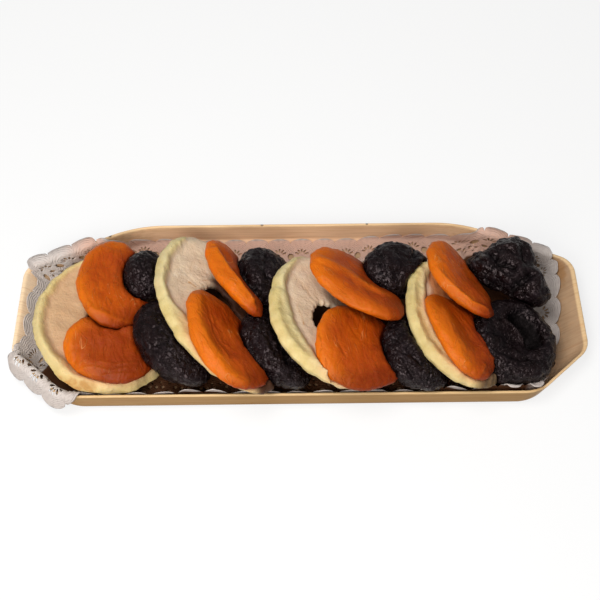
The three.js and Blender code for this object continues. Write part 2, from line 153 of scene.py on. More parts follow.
# The large folds and dents of single pieces: the path over the piece as it lies flat, its half
# width, and how far it stands up, or below nothing how deep it is
fruit_folds = {
    "apricot_1": [
        ([(-11.8, -15.9), (-4.8, -18), (0.4, -20.1), (5.4, -21)], 1.6, 0.55),
        ([(-8, -7), (0, -10), (8, -9)], 2.2, -0.2),
        ([(-15.7, 2), (-14.3, -6.7), (-11.8, -14.9)], 1.4, 0.4),
    ],
    "apricot_2": [
        ([(-11.6, -12.1), (-6.6, -11.6), (0.5, -13.5), (7.2, -11.2)], 0.6, 0.3),
        ([(-9.4, -14.5), (-3.8, -15.5), (2.9, -14.5), (9.8, -13.5)], 0.6, 0.3),
        ([(-4, -9), (3, -10), (11, -8)], 0.5, 0.25),
        ([(-15.4, 2.4), (-13.9, -7.9)], 1.4, -0.4),
        ([(-19, 5), (-17, -4.8)], 3, 0.4),
        ([(-6.2, 8.3), (6, 5.7)], 3.5, -0.5),
    ],
    "apricot_3": [
        ([(-6.5, 15.3), (-7.5, 3.4), (-7, -6.4), (-5, -16.8)], 1.4, 1.5),
        ([(-3.5, 12), (-3.5, -10)], 2.4, -0.8),
        ([(-10, -6), (-8, -15), (-4, -20)], 1.1, 0.4),
    ],
    "apricot_4": [
        ([(-7.3, 20.9), (-14, 8.1), (-14.5, -5.7), (-11, -18.6), (-4.8, -24.9)], 3.2, 1.2),
        ([(-4.7, 10.7), (-6.8, 1.6), (-5.8, -6), (-3.3, -10.3)], 2.2, -0.25),
        ([(-4.1, 14.4), (-6.6, 4.6), (-6, -4.2), (-2.9, -8.5)], 0.5, 0.3),
        ([(-8, 10), (-9.5, 0), (-7.5, -12)], 0.5, 0.25),
    ],
    "apricot_5": [
        ([(-9.4, 18), (-4.3, 7.5), (-3, -2.5), (1.5, -12.3)], 2.6, 1),
        ([(-16.3, 4), (-15, -4.5), (-13, -12.4)], 1.8, -0.7),
    ],
    "apricot_6": [
        ([(-11.8, -0.7), (-9.5, -6.2)], 0.6, -0.3),
        ([(-19.2, 4.3), (-18.6, 1.8)], 0.6, -0.3),
    ],
    "apricot_7": [
        ([(-14.3, 5.8), (-13.5, -1.2), (-11.4, -8.2), (-7.9, -15.7), (-2.2, -20.2)], 0.8, 0.9),
        ([(-11, 4), (-8, -8), (-3, -15)], 3, -0.5),
    ],
    "apricot_8": [
        ([(-6, 10), (-9.5, -1.8), (-7.9, -8.4)], 3.6, 0.8),
        ([(-14, -9), (-12.8, -12.6), (-10.4, -16.7)], 0.8, -0.7),
        ([(-3.3, -21.6), (-1, -19)], 1.1, 0.7),
        ([(0, 8), (1, -8)], 2.5, -0.5),
    ],
    "prune_1": [
        ([(-1.4, 9.3), (0.5, 7.4)], 1.1, -1.4),
        ([(-9.2, -5.9), (-5.4, -9.7)], 1.3, -0.9),
    ],
    "prune_3": [
        ([(-12, 0.6), (-10.7, -6), (-7.9, -9.7)], 1.2, -1.4),
        ([(-0.6, 7.6), (-3, 1.4), (-3.4, -4.6)], 1.2, -1.1),
    ],
    "prune_4": [
        ([(-12.5, 7), (-11.4, -1), (-11.2, -8.7), (-7.2, -17.6)], 2, 1.4),
        ([(-1.7, 12.7), (-4.1, -0.4), (-3, -11.7)], 2.4, -2),
    ],
    "prune_5": [
        ([(7.3, 9.6), (5.9, 3.5)], 1.2, -2),
        ([(8.5, 1.9), (13, 4.7)], 1.6, 1),
        ([(-9.7, 7.9), (-9.8, 1.9)], 0.9, -1.3),
    ],
    "prune_6": [([(-3, 12), (-5, 4)], 1.2, -1.2), ([(-9, -4), (-5, -10)], 1.3, -1.2)],
    "prune_7": [
        ([(-4.2, 7.7), (-5.9, 3.2), (-3.6, -2.4)], 1.7, -2.6),
        ([(-1.7, -10.6), (-6.9, -9.1), (-10.1, -8)], 1.7, -2.2),
        ([(-12.8, 10.6), (-12.4, 3.3), (-11.2, -2.9)], 1.4, -1.6),
        ([(-9.8, 8.7), (-9.5, 9)], 3, 1.6),
        ([(4.5, 5), (5, 4)], 3.6, 1.3),
        ([(-6.4, -17), (-4, -15)], 3, 1.3),
        ([(3, -4), (8, 1)], 1.3, -1.6),
    ],
    "prune_8": [
        ([(1.5, 9.6), (5.2, 6.5), (7.3, 1), (7, -1.5)], 3, -8),
        ([(-4.2, 7.7), (0, 6.2), (3.1, 1.9), (4.5, -2.2)], 1, 1.6),
        ([(-16.4, 0.2), (-6.2, 3.9)], 0.9, -0.8),
        ([(-10, -9), (0, -12), (6, -10)], 1.2, -0.9),
    ],
}

# The brown torn and stained marks on apple rings
torn_marks = {
    "apple_ring_1": [([(-24.5, -27.5), (-20, -30), (-15.5, -32), (-11, -34)], 2.6, 1)],
    "apple_ring_2": [([(-8.2, 16.9), (-6.5, 13.1)], 0.7, 1), ([(-3, 16), (3, 16)], 0.7, 0.7)],
    "apple_ring_3": [([(-14, 10), (-14.5, -1)], 0.7, 0.7)],
}

# Where each apple ring's skin ends: the angle round the ring from its own right-hand side, and
# the share of the way out from its middle
apple_skin_ends = {
    "apple_ring_1": [
        (0, 0.84), (119, 0.87), (156, 0.84), (180, 0.85), (205, 0.86), (226, 0.8), (260, 0.84),
        (360, 0.84),
    ],
    "apple_ring_2": [
        (0, 0.9), (70, 1.02), (88, 0.93), (101, 0.84), (122, 0.82), (134, 0.77), (152, 0.83),
        (166, 0.81), (180, 0.7), (195, 0.66), (215, 0.74), (250, 0.8), (360, 0.9),
    ],
    "apple_ring_3": [
        (0, 0.9), (85, 1.02), (105, 0.91), (123, 0.83), (135, 0.77), (151, 0.69), (170, 0.65),
        (195, 0.64), (212, 0.68), (225, 0.77), (250, 0.84), (360, 0.9),
    ],
    "apple_ring_4": [
        (0, 0.85), (90, 0.84), (111, 0.76), (129, 0.69), (153, 0.62), (176, 0.6), (200, 0.6),
        (225, 0.64), (256, 0.72), (360, 0.85),
    ],
}

# How much painted shade the near ends of the apricots get: most of them alike, and some by their
# own value
usual_dark_end = 0.55
dark_ends = {"apricot_1": 0.0, "apricot_3": 0.3, "apricot_6": 1.2}

# How much painted shade some apricots get all over, apart from their painted bright edges
dark_all_over = {"apricot_2": 0.75}

# The radius of an apple ring's core, and how far the cores of some lie off their middle
core_radius = 8.5
core_shifts = {"apple_ring_2": (1.5, 4), "apple_ring_3": (1, 0)}

# For each apple ring: how tanned its flesh is, how much painted shade its hidden part gets, how
# much painted light shows through it, and how far it bulges at its near left
apple_tones = {
    "apple_ring_1": (0.8, 0, 0, 1.6),
    "apple_ring_2": (0.1, 1.06, 0, 0),
    "apple_ring_3": (0.1, 0.6, 0, 0),
    "apple_ring_4": (0.1, 0.9, 1, 0),
}

# How far juice stains and shade reach from one piece to another
stain_reach = 12

# How far round a point of the lace fruit is looked for, and the gap that is left to it
lace_room = 3.2
lace_gap = 0.35


# A plain colour with its alpha, or the output of a node as it is.
def whole_colour(colour):
    return (*colour, 1) if isinstance(colour, tuple) else colour


# The nodes of one tree. Their inputs take plain values or the outputs of other nodes.
class Nodes:
    def __init__(self, tree):
        self.tree = tree

    def add(self, kind, inputs=None, **settings):
        made = self.tree.nodes.new(kind)
        for name, value in settings.items():
            setattr(made, name, value)
        for name, value in (inputs or {}).items():
            if isinstance(value, bpy.types.NodeSocket):
                self.tree.links.new(value, made.inputs[name])
            else:
                made.inputs[name].default_value = value
        return made

    def maths(self, operation, *values, **settings):
        inputs = dict(enumerate(values))
        return self.add("ShaderNodeMath", inputs, operation=operation, **settings).outputs[0]

    def times(self, first, second):
        return self.maths("MULTIPLY", first, second)

    def plus(self, first, second):
        return self.maths("ADD", first, second)

    def minus(self, first, second):
        return self.maths("SUBTRACT", first, second)

    def scaled(self, vector, scale):
        inputs = {0: vector, 1: scale}
        return self.add("ShaderNodeVectorMath", inputs, operation="MULTIPLY").outputs["Vector"]

    def distance(self, first, second):
        inputs = {0: first, 1: second}
        return self.add("ShaderNodeVectorMath", inputs, operation="DISTANCE").outputs["Value"]

    # A share from 0 to 1 as a value goes from low to high.
    def share(self, value, low, high):
        inputs = {"Value": value, "From Min": low, "From Max": high}
        made = self.add("ShaderNodeMapRange", inputs, interpolation_type="SMOOTHSTEP")
        return made.outputs["Result"]

    # The colours of a mix node are its inputs 6 and 7 and its output 2.
    def mix(self, share, first, second):
        inputs = {0: share, 6: whole_colour(first), 7: whole_colour(second)}
        return self.add("ShaderNodeMix", inputs, data_type="RGBA").outputs[2]

    def noise(self, place, scale, detail=2.0, roughness=0.5, distortion=0.0):
        inputs = {
            "Vector": place, "Scale": scale, "Detail": detail, "Roughness": roughness,
            "Distortion": distortion,
        }
        return self.add("ShaderNodeTexNoise", inputs).outputs["Fac"]

    # Object coordinates in millimetres, each one stretched by its own share.
    def place(self, stretch=(1, 1, 1)):
        place = self.add("ShaderNodeTexCoord").outputs["Object"]
        return self.scaled(place, tuple(share / mm for share in stretch))

    def attribute(self, name, output="Fac"):
        return self.add("ShaderNodeAttribute", attribute_name=name).outputs[output]

    def mottle(self, place, scale, contrast):
        inputs = {"Place": place, "Scale": scale, "Contrast": contrast}
        return self.add("ShaderNodeGroup", inputs, node_tree=mottle_group).outputs["Mask"]

    def creases(self, place, scale, width, distortion):
        inputs = {"Place": place, "Scale": scale, "Distortion": distortion, "Width": width}
        return self.add("ShaderNodeGroup", inputs, node_tree=crease_group).outputs["Mask"]


# A shader group that makes one mask from a place and some numbers.
def new_group(name, *numbers):
    group = bpy.data.node_groups.new(name, "ShaderNodeTree")
    group.interface.new_socket("Place", in_out="INPUT", socket_type="NodeSocketVector")
    for number in numbers:
        group.interface.new_socket(number, in_out="INPUT", socket_type="NodeSocketFloat")
    group.interface.new_socket("Mask", in_out="OUTPUT", socket_type="NodeSocketFloat")
    nodes = Nodes(group)
    return nodes, nodes.add("NodeGroupInput").outputs


# Thin lines between patches of noise, as in creased skin or paper.
def make_crease_group():
    nodes, given = new_group("creases", "Scale", "Distortion", "Width")
    patches = nodes.noise(given["Place"], given["Scale"], distortion=given["Distortion"])
    off = nodes.maths("ABSOLUTE", nodes.minus(patches, 0.5))
    lines = nodes.minus(1.0, nodes.maths("DIVIDE", off, given["Width"]))
    nodes.add("NodeGroupOutput", {"Mask": nodes.maths("MAXIMUM", lines, 0.0)})
    return nodes.tree


# Even mottling from 0 to 1, with its contrast raised.
def make_mottle_group():
    nodes, given = new_group("mottle", "Scale", "Contrast")
    patches = nodes.noise(given["Place"], given["Scale"], 4.0, 0.6)
    raised = nodes.times(nodes.minus(patches, 0.5), given["Contrast"])
    nodes.add("NodeGroupOutput", {"Mask": nodes.maths("ADD", raised, 0.5, use_clamp=True)})
    return nodes.tree


crease_group = make_crease_group()
mottle_group = make_mottle_group()


# A material's nodes, its surface, and its colour so far.
class Look(Nodes):
    def __init__(self, name, **plain):
        self.material = bpy.data.materials.new(name)
        self.material.use_nodes = True
        super().__init__(self.material.node_tree)
        self.surface = self.tree.nodes["Principled BSDF"]
        for socket, value in plain.items():
            self.surface.inputs[socket.replace("_", " ")].default_value = value

    # Takes the colour toward a tint where a mask says so, at most by a share.
    def tint(self, mask, most, tint):
        share = mask if most == 1 else self.times(mask, most)
        self.colour = self.mix(share, self.colour, tint)

    def finish(self, roughness, height, depth):
        inputs = {"Height": height, "Distance": depth * mm, "Strength": 1.0}
        bump = self.add("ShaderNodeBump", inputs)
        self.tree.links.new(self.colour, self.surface.inputs["Base Color"])
        self.tree.links.new(roughness, self.surface.inputs["Roughness"])
        self.tree.links.new(bump.outputs["Normal"], self.surface.inputs["Normal"])
        return self.material


# Pale veneer. Its grain runs along the tray, and up the slope on the flared ends. Painted light
# and shade set its sides apart: the front face darker and yellower, the back wall and left end
# lighter, the right end darker, and the floor inside dark under the fruit. Its rim's top has a
# painted highlight. The back rim has small knots, and the right end has two resin stains.
def veneer_material():
    look = Look("pale veneer")
    place = look.place()
    x, y, z = look.add("ShaderNodeSeparateXYZ", {"Vector": place}).outputs
    from_middle = look.maths("ABSOLUTE", x)
    level = look.noise(look.place((0.03, 1, 1)), 1.1, 4.0, 0.66)
    rising = look.noise(look.place((0.03, 1, 0.05)), 1.1, 4.0, 0.66)
    by_end = look.share(from_middle, 108, 113)
    fibre = look.maths("MULTIPLY_ADD", by_end, look.minus(rising, level), level)
    band = look.noise(look.place((0.008, 0.3, 0.3)), 0.9, 3.0, 0.55)
    look.colour = look.mix(look.share(band, 0.3, 0.7), (0.54, 0.335, 0.18), (0.64, 0.43, 0.25))
    look.tint(look.share(fibre, 0.5, 0.72), 0.3, (0.40, 0.22, 0.11))
    look.tint(look.mottle(place, 0.03, 2.0), 0.2, (0.60, 0.34, 0.19))
    # Painted shade: the front face darker, with a yellower tone
    look.tint(look.share(y, -43, -45), 0.78, (0.32, 0.16, 0.018))
    # Painted light: the back wall lighter, most of all low down
    back = look.mix(look.share(z, 10, 4), (0.84, 0.54, 0.32), (0.98, 0.66, 0.42))
    look.tint(look.share(y, 40, 44), 0.72, back)
    # Painted shade: the right end darker
    look.tint(look.share(x, 108, 114), 0.7, (0.39, 0.25, 0.15))
    # Painted shade on the floor inside, where it lies under the fruit
    inside = look.times(look.share(y, 30, 24), look.share(from_middle, 100, 94))
    floor = look.times(look.share(z, 2.5, 1.5), inside)
    look.tint(floor, 0.6, (0.16, 0.075, 0.03))
    # A painted highlight along the rim's top
    painted_rim_highlight = look.share(z, tray_height - 1, tray_height - 0.3)
    look.tint(painted_rim_highlight, 0.6, (0.96, 0.68, 0.36))
    # Painted light: the left end lighter
    look.tint(look.share(x, -112, -122), 0.6, (0.98, 0.78, 0.56))
    knots = [((-88.1, 39.8, 10.9), 1.3), ((-17.2, 45.5, 10.9), 1.1), ((32.1, 45.4, 10.9), 0.9)]
    for knot, size in knots:
        look.tint(look.share(look.distance(place, knot), size, 0.2), 1, (0.12, 0.055, 0.02))
    stain_scale = (1, 0.22, 0.5)
    stretched = look.scaled(place, stain_scale)
    ragged = look.times(look.noise(place, 0.5, 3.0), 2.4)
    for stain, size in [((120.4, 21, 6.7), 2.6), ((115.5, -8, 1.8), 1.2)]:
        middle = tuple(along * scale for along, scale in zip(stain, stain_scale))
        away = look.plus(look.distance(stretched, middle), ragged)
        look.tint(look.share(away, size + 1.2, size - 0.4), 0.55, (0.36, 0.16, 0.035))
    grain = look.scaled(look.colour, (0.74, 0.63, 0.52))
    look.tint(look.share(fibre, 0.42, 0.68), 0.5, grain)
    lines = look.scaled(look.colour, (1.12, 0.98, 0.86))
    look.tint(look.share(band, 0.56, 0.62), 0.3, lines)
    rough = look.maths("MULTIPLY_ADD", fibre, 0.25, 0.42)
    return look.finish(rough, fibre, 0.12)


# Lilac-white paper with rings and spokes pressed round the middle of each fan. It has painted
# shade in the pressed hollows and near, between and under the fruit, and painted warm light
# from the fruit on the back.
def lace_material(pitch):
    look = Look("paper lace", Specular_IOR_Level=0.12)
    fan = look.attribute("fan", "Vector")
    cosine, sine, from_edge = look.add("ShaderNodeSeparateXYZ", {"Vector": fan}).outputs
    across = look.times(look.maths("ARCTAN2", sine, cosine), pitch / (2 * math.pi))
    inward = look.minus(from_edge, fan_centre)
    away = look.plus(look.times(across, across), look.times(inward, inward))
    away = look.maths("SQRT", away)
    rings = look.maths("SINE", look.times(away, 2 * math.pi / ring_pitch))
    spokes = look.times(look.maths("ARCTAN2", across, inward), spoke_count)
    spokes = look.maths("SINE", spokes)
    pressed = look.times(rings, look.share(away, 4.0, 4.6))
    dotted = look.times(look.times(spokes, rings), 0.5)
    border = look.share(from_edge, lace_band - 1, lace_band - 4)
    relief = look.times(look.plus(pressed, dotted), border)
    place = look.place()
    fibre = look.noise(place, 1.2, 3.0, 0.6)
    mottle = look.mottle(place, 0.09, 2.0)
    look.colour = look.mix(mottle, (0.54, 0.47, 0.43), (0.62, 0.565, 0.53))
    # Painted warm light from the fruit, on the paper at the back
    look.tint(look.attribute("warmed"), 0.6, (0.74, 0.37, 0.23))
    # Painted shade in the hollows of the pressed pattern
    look.tint(look.share(relief, 0.2, -0.9), 0.25, (0.50, 0.39, 0.37))
    # Painted shade near, between and under the fruit
    look.tint(look.attribute("painted_shade"), 0.65, (0.075, 0.028, 0.011))
    height = look.plus(relief, look.times(fibre, 0.5))
    rough = look.maths("MULTIPLY_ADD", fibre, 0.15, 0.62)
    return look.finish(rough, height, 0.08)


# Nearly black skin with a faint bloom, with a painted sheen where it faces the light and painted
# shade in its valleys, darkest in its folds.
def prune_material():
    look = Look("prune skin", Specular_IOR_Level=0.25, Specular_Tint=(1, 0.8, 0.82, 1))
    place = look.place()
    bloom = look.mottle(place, 0.16, 3.5)
    fold_shade = look.attribute("fold_shade")
    # Painted shade: the skin darker in its valleys than on its ridges
    raised = look.share(look.attribute("ridge"), 0.2, 0.8)
    look.colour = look.mix(raised, (0.0008, 0.0003, 0.0003), (0.0055, 0.0026, 0.0026))
    look.tint(bloom, 0.35, (0.006, 0.004, 0.007))
    look.tint(look.mottle(place, 0.07, 4.0), 0.3, (0.010, 0.003, 0.0026))
    # A painted sheen on ridges that face the light
    look.tint(look.attribute("painted_sheen"), 0.5, (0.024, 0.017, 0.020))
    # Painted shade in the deep folds
    look.tint(fold_shade, 1, (0.0005, 0.0004, 0.0004))
    pores = look.times(look.noise(place, 0.5), 2.0)
    height = look.minus(pores, look.creases(place, 0.4, 0.06, 0.5))
    rough = look.maths("MULTIPLY_ADD", bloom, 0.14, 0.23)
    rough = look.maths("MAXIMUM", rough, look.times(fold_shade, 0.6))
    return look.finish(rough, height, 0.3)


# Waxy orange skin: painted light on the edge toward the light, painted shade on the side away
# from it and where it meets other fruit, and thin pale lines.
def apricot_material():
    look = Look(
        "dried apricot", Subsurface_Weight=0.2, Subsurface_Scale=2 * mm,
        Subsurface_Radius=(1.0, 0.3, 0.08), Specular_IOR_Level=0.15, Coat_Weight=0.03,
        Coat_Roughness=0.3,
    )
    place = look.place()
    mottle = look.mottle(place, 0.07, 2.6)
    look.colour = look.mix(mottle, (0.34, 0.036, 0.002), (0.55, 0.090, 0.002))
    look.tint(look.mottle(place, 0.4, 1.6), 0.25, (0.58, 0.12, 0.004))
    # Painted light on the edge toward the light and on the tops of folds
    look.tint(look.attribute("edge"), 0.75, (0.74, 0.17, 0.003))
    # Painted shade on the side away from the light, at the near end, all over some pieces, and where
    # it meets other fruit
    side = look.times(look.attribute("side"), 0.55)
    contact_shade = look.times(look.attribute("contact_shade"), 0.9)
    look.tint(look.maths("MAXIMUM", contact_shade, side), 1, (0.13, 0.010, 0.001))
    stretched = look.scaled(look.attribute("own", "Vector"), (1, 0.25, 1))
    lines = look.creases(stretched, 0.16, 0.014, 1.6)
    look.tint(look.times(lines, look.share(mottle, 0.5, 1.4)), 1, (0.86, 0.40, 0.14))
    pores = look.noise(place, 0.8, 4.0, 0.62)
    height = look.plus(pores, look.times(lines, 0.5))
    rough = look.maths("MULTIPLY_ADD", mottle, -0.1, 0.52)
    return look.finish(rough, height, 0.3)


# Pale flesh inside a yellow-green skin, with juice from the apricots, torn marks and specks; a
# painted highlight on the skin's crest, painted light through one ring and painted shade on
# parts hidden under other fruit.
def apple_material():
    look = Look(
        "dried apple", Subsurface_Weight=0.2, Subsurface_Scale=2 * mm,
        Subsurface_Radius=(1.0, 0.7, 0.4), Specular_IOR_Level=0.35,
    )
    place = look.place()
    mottle = look.mottle(place, 0.2, 2.5)
    cloud = look.mottle(place, 0.07, 3.0)
    streak = look.attribute("streak")
    tanned = look.attribute("tanned")
    look.colour = look.mix(mottle, (0.60, 0.455, 0.175), (0.74, 0.60, 0.29))
    look.tint(cloud, 0.25, (0.50, 0.45, 0.17))
    # A painted highlight along the crest of the skin
    look.tint(look.attribute("crest"), 0.45, (0.82, 0.71, 0.43))
    look.tint(tanned, 0.35, (0.60, 0.40, 0.10))
    skin = look.colour
    look.colour = look.mix(mottle, (0.70, 0.54, 0.375), (0.78, 0.64, 0.47))
    look.tint(cloud, 0.35, (0.64, 0.45, 0.31))
    look.tint(look.share(streak, 0.1, 0.7), 0.25, (0.60, 0.41, 0.26))
    look.tint(tanned, 1, (0.56, 0.335, 0.165))
    look.tint(look.attribute("rim"), 1, skin)
    look.tint(look.attribute("bleed"), 0.6, (0.70, 0.27, 0.14))
    # Painted light that shows through the ring
    look.tint(look.attribute("glow"), 0.8, (0.60, 0.17, 0.02))
    # Painted shade on the parts that lie hidden under other fruit
    look.tint(look.attribute("shaded"), 0.92, (0.06, 0.014, 0.003))
    look.tint(look.share(look.noise(place, 0.8), 0.70, 0.78), 0.4, (0.40, 0.29, 0.11))
    torn = look.times(look.attribute("torn"), look.noise(place, 0.4))
    look.tint(look.share(torn, 0.1, 0.6), 0.8, (0.47, 0.21, 0.045))
    grain = look.noise(place, 0.9, 4.0, 0.62)
    grain = look.plus(grain, look.times(streak, -0.3))
    rough = look.maths("MULTIPLY_ADD", mottle, 0.12, 0.55)
    return look.finish(rough, grain, 0.35)


def lengths_of(rows):
    return np.linalg.norm(rows, axis=1)


def unit(rows):
    return rows / lengths_of(rows)[:, None]


def at_height(level, height):
    return np.column_stack([level, np.full(len(level), height)])


# The corners of the rim, counterclockwise from the front right: place, bend radius, and the
# flare of the run that follows.
def rim_corners():
    front_y = front_cut_depth - rim_half_depth
    back_y = rim_half_depth - back_cut_depth
    right = [
        (rim_half_length - front_cut_length, -rim_half_depth, front_bend_radius),
        (rim_half_length, front_y, front_end_bend_radius),
        (rim_half_length, back_y, back_end_bend_radius),
        (rim_half_length - back_cut_length, rim_half_depth, back_bend_radius),
    ]
    left = [(-x, y, radius) for x, y, radius in reversed(right)]
    flares = [front_cut_flare, end_flare, back_cut_flare, side_flare]
    flares += [back_cut_flare, end_flare, front_cut_flare, side_flare]
    return [(*corner, flare) for corner, flare in zip(right + left, flares)]


# Moves every run of the outline in by its own flare.
def moved_in(corners):
    moved = []
    for i, (x, y, radius, flare) in enumerate(corners):
        before = corners[i - 1]
        after = corners[(i + 1) % len(corners)]
        run_in = Vector((x - before[0], y - before[1])).normalized()
        run_out = Vector((after[0] - x, after[1] - y)).normalized()
        cross = run_in.x * run_out.y - run_in.y * run_out.x
        shift = (before[3] * run_out - flare * run_in) / cross
        moved.append((x + shift.x, y + shift.y, radius, flare))
    return moved


# Rounds the corners with arcs and divides the straight runs between them.
def rounded_outline(corners, arc_steps, run_steps):
    arcs = []
    for i, (x, y, radius, _) in enumerate(corners):
        here = Vector((x, y))
        back = (Vector(corners[i - 1][:2]) - here).normalized()
        ahead = (Vector(corners[(i + 1) % len(corners)][:2]) - here).normalized()
        half_angle = back.angle(ahead) / 2
        centre = here + (back + ahead).normalized() * radius / math.sin(half_angle)
        turn = math.pi - 2 * half_angle
        last_angle = math.atan2(-ahead.x, ahead.y)
        angles = [last_angle - turn * (1 - step / arc_steps) for step in range(arc_steps + 1)]
        arcs.append([centre + radius * Vector((math.cos(a), math.sin(a))) for a in angles])
    outline = []
    for i, arc in enumerate(arcs):
        end = arcs[(i + 1) % len(arcs)][0]
        outline += arc
        outline += [arc[-1].lerp(end, step / run_steps) for step in range(1, run_steps)]
    return np.array(outline)


# The stations round the tray: base and rim outside the veneer, the way out, and the share of
# the way round.
class Stations:
    def __init__(self, arc_steps, run_steps):
        self.rim = rounded_outline(rim_corners(), arc_steps, run_steps)
        self.base = rounded_outline(moved_in(rim_corners()), arc_steps, run_steps)
        along = unit(np.roll(self.rim, -1, axis=0) - np.roll(self.rim, 1, axis=0))
        self.out = np.stack([along[:, 1], -along[:, 0]], axis=1)
        steps = lengths_of(np.roll(self.rim, -1, axis=0) - self.rim)
        self.around = steps.sum()
        self.share = np.concatenate([[0], np.cumsum(steps)[:-1]]) / self.around

    def at(self, shares, table):
        wrapped = np.append(self.share, 1.0)
        closed = np.vstack([table, table[:1]])
        return np.stack([np.interp(shares, wrapped, column) for column in closed.T], axis=1)


stations = Stations(16, 24)


def new_object(name, data):
    made = bpy.data.objects.new(name, data)
    bpy.context.scene.collection.objects.link(made)
    return made


def new_piece(name, points, faces, material, smooth=True):
    mesh = bpy.data.meshes.new(name)
    mesh.from_pydata([Vector(point) * mm for point in points], [], faces)
    mesh.validate()
    mesh.materials.append(material)
    if smooth:
        mesh.shade_smooth()
    return new_object(name, mesh)


# Replaces a piece's mesh with what its modifiers make of it.
def apply_modifiers(piece):
    bpy.context.view_layer.update()
    shaped = piece.evaluated_get(bpy.context.evaluated_depsgraph_get())
    mesh = bpy.data.meshes.new_from_object(shaped)
    piece.modifiers.clear()
    piece.data = mesh


# The outer face of a wall at a height, and a level distance outside it.
def wall_points(outward, height):
    rise = max(0, height / tray_height)
    level = stations.base + (stations.rim - stations.base) * rise + stations.out * outward[:, None]
    return at_height(level, height)


# A quarter bend between a floor and a wall, from the floor up.
def fold_loops(outward, floor, radius):
    start = wall_points(outward - radius, floor)
    corner = wall_points(outward, floor)
    end = wall_points(outward, floor + radius)
    loops = []
    for share in (step / fold_steps for step in range(fold_steps + 1)):
        loops.append(start * (1 - share) ** 2 + corner * 2 * share * (1 - share) + end * share ** 2)
    return loops


# One loop of the wall's rounded top edge, at an angle from the wall's face up to its top.
def edge_loop(outward, inset_factor, degrees):
    angle = math.radians(degrees)
    inset = rim_edge_radius * (1 - math.cos(angle))
    height = tray_height - rim_edge_radius * (1 - math.sin(angle))
    return wall_points(outward + inset * inset_factor, height)


# The tray as one closed skin: its floor, up the inside, over the rim and down the outside.
def tray_shell():
    flare = ((stations.rim - stations.base) * stations.out).sum(axis=1)
    level_factor = np.hypot(1, flare / tray_height)
    inside = -veneer_thickness * level_factor
    outside = np.zeros(len(inside))
    heights = [tray_height * share for share in (0.45, 0.65, 0.82)]
    loops = fold_loops(inside, veneer_thickness, fold_radius)
    loops += [wall_points(inside, height) for height in heights]
    loops += [edge_loop(inside, level_factor, degrees) for degrees in (0, 30, 60, 90)]
    loops += [edge_loop(outside, -level_factor, degrees) for degrees in (90, 60, 30, 0)]
    loops += [wall_points(outside, height) for height in reversed(heights)]
    loops += fold_loops(outside, 0, fold_radius + veneer_thickness)[::-1]
    count = len(inside)
    last = (len(loops) - 1) * count
    faces = []
    for low in range(0, last, count):
        for step in range(count):
            after = (step + 1) % count
            faces.append((low + step, low + count + step, low + count + after, low + after))
    faces.append(tuple(range(count)))
    faces.append(tuple(last + step for step in reversed(range(count))))
    piece = new_piece("tray_shell", np.vstack(loops), faces, veneer_material())
    for flat_face in list(piece.data.polygons)[-2:]:
        flat_face.use_smooth = False
    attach(piece, "tray_shell")
    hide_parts("tray")


# A copy of a CAD node, as one closed skin.
def skin_of(name):
    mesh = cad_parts[name].data.copy()
    mesh.materials.clear()
    skin = bmesh.new()
    skin.from_mesh(mesh)
    bmesh.ops.remove_doubles(skin, verts=skin.verts, dist=0.002 * mm)
    skin.to_mesh(mesh)
    skin.free()
    return new_object(name + "_skin", mesh)


# The skin of a CAD node with its facets rounded away and a fine, even mesh, its points, and the
# same points in the piece's own place: turned back to lie flat about its middle.
def rounded_skin(name, voxel, rounds):
    piece = skin_of(name)
    remesh = piece.modifiers.new("even mesh", "REMESH")
    remesh.mode = "VOXEL"
    remesh.voxel_size = voxel * mm
    remesh.use_smooth_shade = True
    soften = piece.modifiers.new("soften", "SMOOTH")
    soften.factor = 0.5
    soften.iterations = rounds
    finer = piece.modifiers.new("finer", "SUBSURF")
    finer.levels = 1
    finer.render_levels = 1
    apply_modifiers(piece)
    points = points_of(piece)
    along, across = fruit_places[name][3:]
    low, high = (Vector(corner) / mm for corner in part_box(name))
    middle = np.array((along * rim_half_length, across * rim_half_depth, (low.z + high.z) / 2))
    return piece, points, (points - middle) @ turn_of(name)


# Three numbers for each item of a mesh, as rows.
def rows_of(items, name):
    flat = np.empty(len(items) * 3, dtype=np.float32)
    items.foreach_get(name, flat)
    return flat.reshape(-1, 3)


def points_of(piece):
    return rows_of(piece.data.vertices, "co") / mm


def normals_of(piece):
    return rows_of(piece.data.vertex_normals, "vector")


def set_points(piece, points):
    piece.data.vertices.foreach_set("co", (np.asarray(points) * mm).astype(np.float32).ravel())
    piece.data.update()


def set_attribute(piece, name, values):
    values = np.asarray(values, dtype=np.float32)
    kind, part = ("FLOAT", "value") if values.ndim == 1 else ("FLOAT_VECTOR", "vector")
    piece.data.attributes.new(name, kind, "POINT").data.foreach_set(part, values.ravel())


# Soft noise from about -1 to 1 at each point, with lumps of the given size.
def noise_at(points, size, seed):
    shift = np.array((17.3, 5.1, 11.7)) * (seed + 1)
    places = np.asarray(points) / size + shift
    return np.array([noise.noise(place) for place in places.tolist()])


# Rounded ridges between narrow valleys, from 0 in a valley to about 1.
def ridges_at(points, size, seed):
    warp = 0.6
    bend = np.column_stack([noise_at(points, size * 2, seed + 7 * axis) for axis in (1, 2, 3)])
    moved = np.asarray(points) + bend * size * warp
    return np.minimum(1, np.abs(noise_at(moved, size, seed)) * 2.2)


def smooth_step(values, low, high):
    share = np.clip((values - low) / (high - low), 0, 1)
    return share * share * (3 - 2 * share)


# A table's values at some shares of the way.
def value_along(table, shares):
    return np.interp(shares, [row[0] for row in table], [row[1] for row in table])


# The turn that takes a piece from lying flat to its place in the tray.
def turn_of(name):
    turn, lean = fruit_places[name][1:3]
    turned = Matrix.Rotation(math.radians(turn), 3, "Z") @ Matrix.Rotation(math.radians(lean), 3, "Y")
    return np.array(turned)


